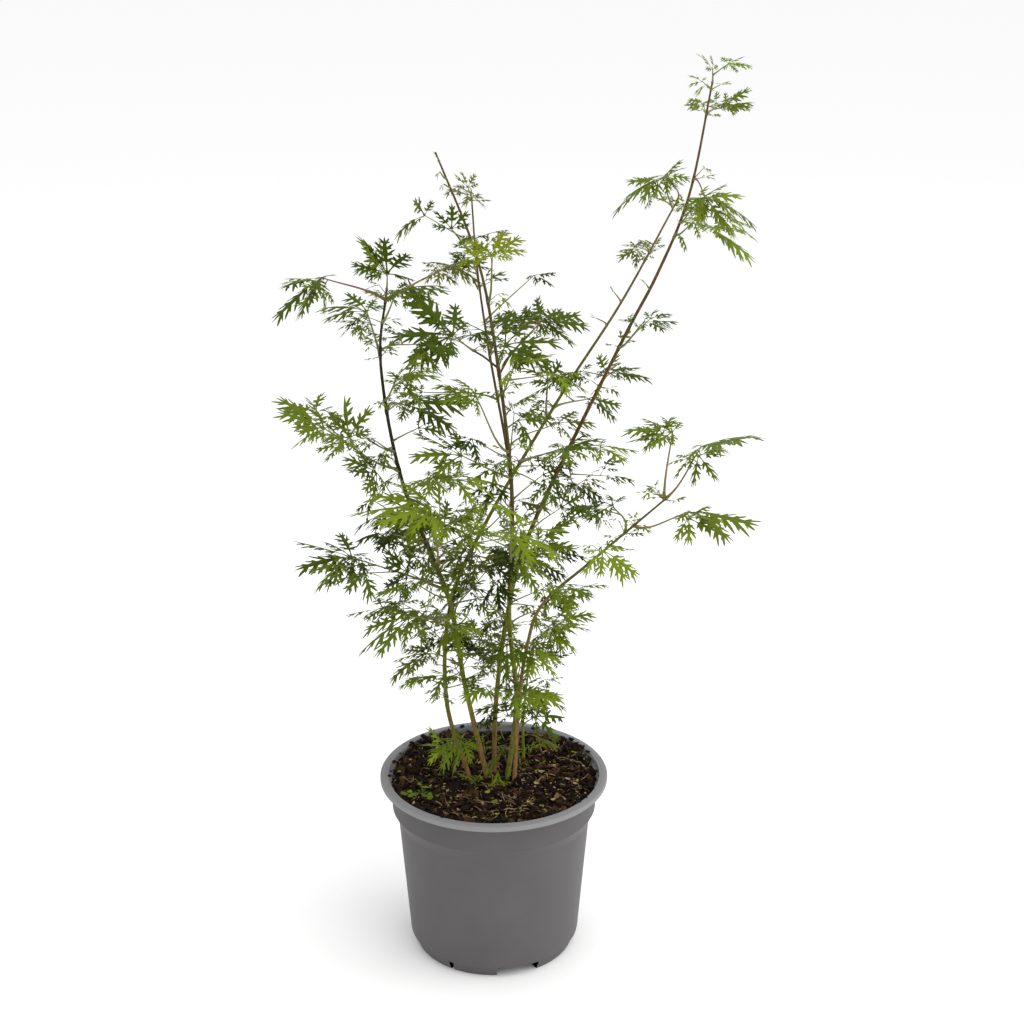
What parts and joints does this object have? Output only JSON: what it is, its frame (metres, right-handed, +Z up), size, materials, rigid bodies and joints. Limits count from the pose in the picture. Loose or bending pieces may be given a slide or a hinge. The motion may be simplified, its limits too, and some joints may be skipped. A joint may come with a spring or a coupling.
{
  "type": "potted japanese maple",
  "caption": "Young japanese maple in a round grey nursery pot: a clump of slender canes with long-stalked, finely cut, hand-shaped green leaves. It stands on the pot's flat underside.",
  "frame": {"origin": "centre of the pot's flat underside, on the surface that the pot stands on", "axes": "+Z up along the pot's axis, -Y towards the pictured side, +X to the right in the picture"},
  "size_m": [0.3762, 0.2749, 0.7546],
  "materials": {
    "grey_plastic": "moulded, fine matt",
    "potting_soil": "loose bark and peat mix",
    "bark": "smooth young bark",
    "leaf_light": "thin leaf, satin",
    "leaf_middle": "thin leaf, satin",
    "leaf_dark": "thin leaf, satin"
  },
  "bodies": {
    "root": {"basal_shoot": "bark", "bough_left": "bark", "bough_right": "bark", "cane_centre": "bark", "cane_crossing": "bark", "cane_left": "bark", "cane_right": "bark", "cane_tall": "bark", "centre_fork": "bark", "foliage_bough_left_end": "leaf_light", "foliage_bough_right_end": "leaf_middle", "foliage_centre_high_left": "leaf_light", "foliage_centre_high_right": "leaf_middle", "foliage_centre_left_broad": "leaf_middle", "foliage_centre_left_front": "leaf_light", "foliage_centre_right_front": "leaf_dark", "foliage_crossing_back": "leaf_light", "foliage_crossing_fan": "leaf_middle", "foliage_crossing_front": "leaf_dark", "foliage_crossing_high": "leaf_middle", "foliage_crossing_low": "leaf_dark", "foliage_crossing_tip": "leaf_light", "foliage_far_left": "leaf_light", "foliage_fork_high": "leaf_light", "foliage_fork_low": "leaf_middle", "foliage_fork_tip": "leaf_dark", "foliage_front_broad": "leaf_light", "foliage_front_centre": "leaf_dark", "foliage_high_right_back": "leaf_light", "foliage_high_right_front": "leaf_dark", "foliage_left_arching": "leaf_middle", "foliage_left_comb": "leaf_dark", "foliage_left_inner": "leaf_light", "foliage_left_long_stalk": "leaf_light", "foliage_left_low": "leaf_dark", "foliage_left_low_long": "leaf_middle", "foliage_left_middle_front": "leaf_middle", "foliage_left_middle_right": "leaf_dark", "foliage_left_tan_twig": "leaf_dark", "foliage_left_top": "leaf_middle", "foliage_left_upper_back": "leaf_middle", "foliage_left_upper_front": "leaf_dark", "foliage_pot_edge_leaf": "leaf_light", "foliage_right_end": "leaf_dark", "foliage_right_inner": "leaf_dark", "foliage_right_low": "leaf_dark", "foliage_right_middle": "leaf_middle", "foliage_right_outer": "leaf_middle", "foliage_right_under": "leaf_light", "foliage_right_upper": "leaf_light", "foliage_shoot_end": "leaf_light", "foliage_tall_behind": "leaf_dark", "foliage_tall_core": "leaf_dark", "foliage_tall_dark": "leaf_light", "foliage_tall_low": "leaf_middle", "foliage_tall_middle": "leaf_middle", "foliage_top_tuft": "leaf_light", "foliage_top_whorl": "leaf_middle", "pot": "grey_plastic", "soil": "potting_soil"}
  },
  "joints": []
}
